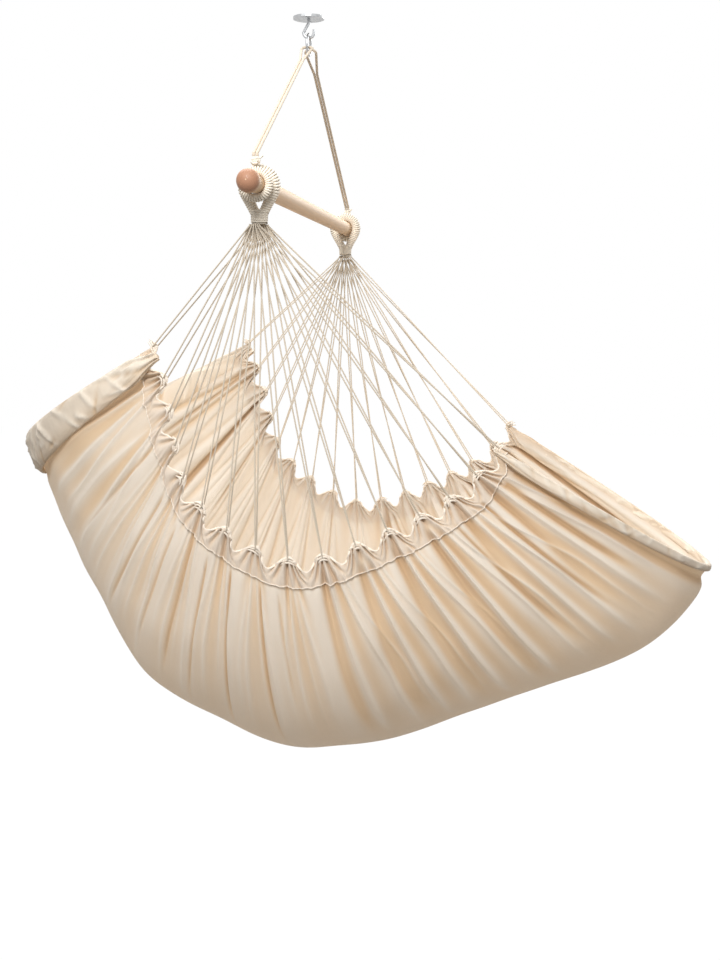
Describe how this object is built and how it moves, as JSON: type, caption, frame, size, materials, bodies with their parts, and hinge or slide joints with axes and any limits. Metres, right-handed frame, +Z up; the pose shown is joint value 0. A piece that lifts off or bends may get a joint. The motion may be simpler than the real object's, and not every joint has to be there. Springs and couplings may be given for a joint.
{
  "type": "hammock chair",
  "caption": "Cotton sling seat with gathered sides, hung by two cord fans from a round wooden spreader bar, two doubled ropes and a ceiling hook.",
  "frame": {"origin": "middle of the ceiling plate's top face, where the chair is held up", "axes": "+Z up, +X from the head end to the foot end, +Y along the spreader bar"},
  "size_m": [1.5442, 1.264, 1.6486],
  "materials": {
    "steel": "satin",
    "birch": "fine sanded, clear",
    "cord": "matt twisted cotton",
    "serving": "matt wound cotton",
    "cotton": "matt woven cotton"
  },
  "bodies": {
    "ceiling_fitting": {"ceiling_plate": "steel", "ceiling_hook": "steel"},
    "hanger": {"hanging_ring": "steel", "spreader_bar": "birch", "near_suspension_rope": "cord", "near_rope_knot": "cord", "near_hitch_core": "serving", "near_hitch_serving": "serving", "far_suspension_rope": "cord", "far_rope_knot": "cord", "far_hitch_core": "serving", "far_hitch_serving": "serving"},
    "seat": {"near_eye_core": "serving", "near_eye_serving": "serving", "near_collar_core": "serving", "near_collar_serving": "serving", "near_fan_cord_01": "cord", "near_fan_cord_02": "cord", "near_fan_cord_03": "cord", "near_fan_cord_04": "cord", "near_fan_cord_05": "cord", "near_fan_cord_06": "cord", "near_fan_cord_07": "cord", "near_fan_cord_08": "cord", "near_fan_cord_09": "cord", "near_fan_cord_10": "cord", "near_fan_cord_11": "cord", "near_fan_cord_12": "cord", "near_fan_cord_13": "cord", "near_fan_cord_14": "cord", "near_fan_cord_15": "cord", "near_fan_cord_16": "cord", "near_rolled_rim": "cotton", "near_side_band": "cotton", "far_eye_core": "serving", "far_eye_serving": "serving", "far_collar_core": "serving", "far_collar_serving": "serving", "far_fan_cord_01": "cord", "far_fan_cord_02": "cord", "far_fan_cord_03": "cord", "far_fan_cord_04": "cord", "far_fan_cord_05": "cord", "far_fan_cord_06": "cord", "far_fan_cord_07": "cord", "far_fan_cord_08": "cord", "far_fan_cord_09": "cord", "far_fan_cord_10": "cord", "far_fan_cord_11": "cord", "far_fan_cord_12": "cord", "far_fan_cord_13": "cord", "far_fan_cord_14": "cord", "far_fan_cord_15": "cord", "far_fan_cord_16": "cord", "far_rolled_rim": "cotton", "far_side_band": "cotton", "seat_cloth": "cotton", "head_hem": "cotton", "foot_hem": "cotton"}
  },
  "joints": [
    {"name": "chair_swing", "type": "hinge", "parent": "ceiling_fitting", "child": "hanger", "pos_m": [0, 0, -0.038], "axis": [0, 1, 0], "range_deg": [-30, 30]},
    {"name": "seat_tilt", "type": "hinge", "parent": "hanger", "child": "seat", "pos_m": [0, 0, -0.423], "axis": [0, 1, 0], "range_deg": [-20, 20]}
  ]
}
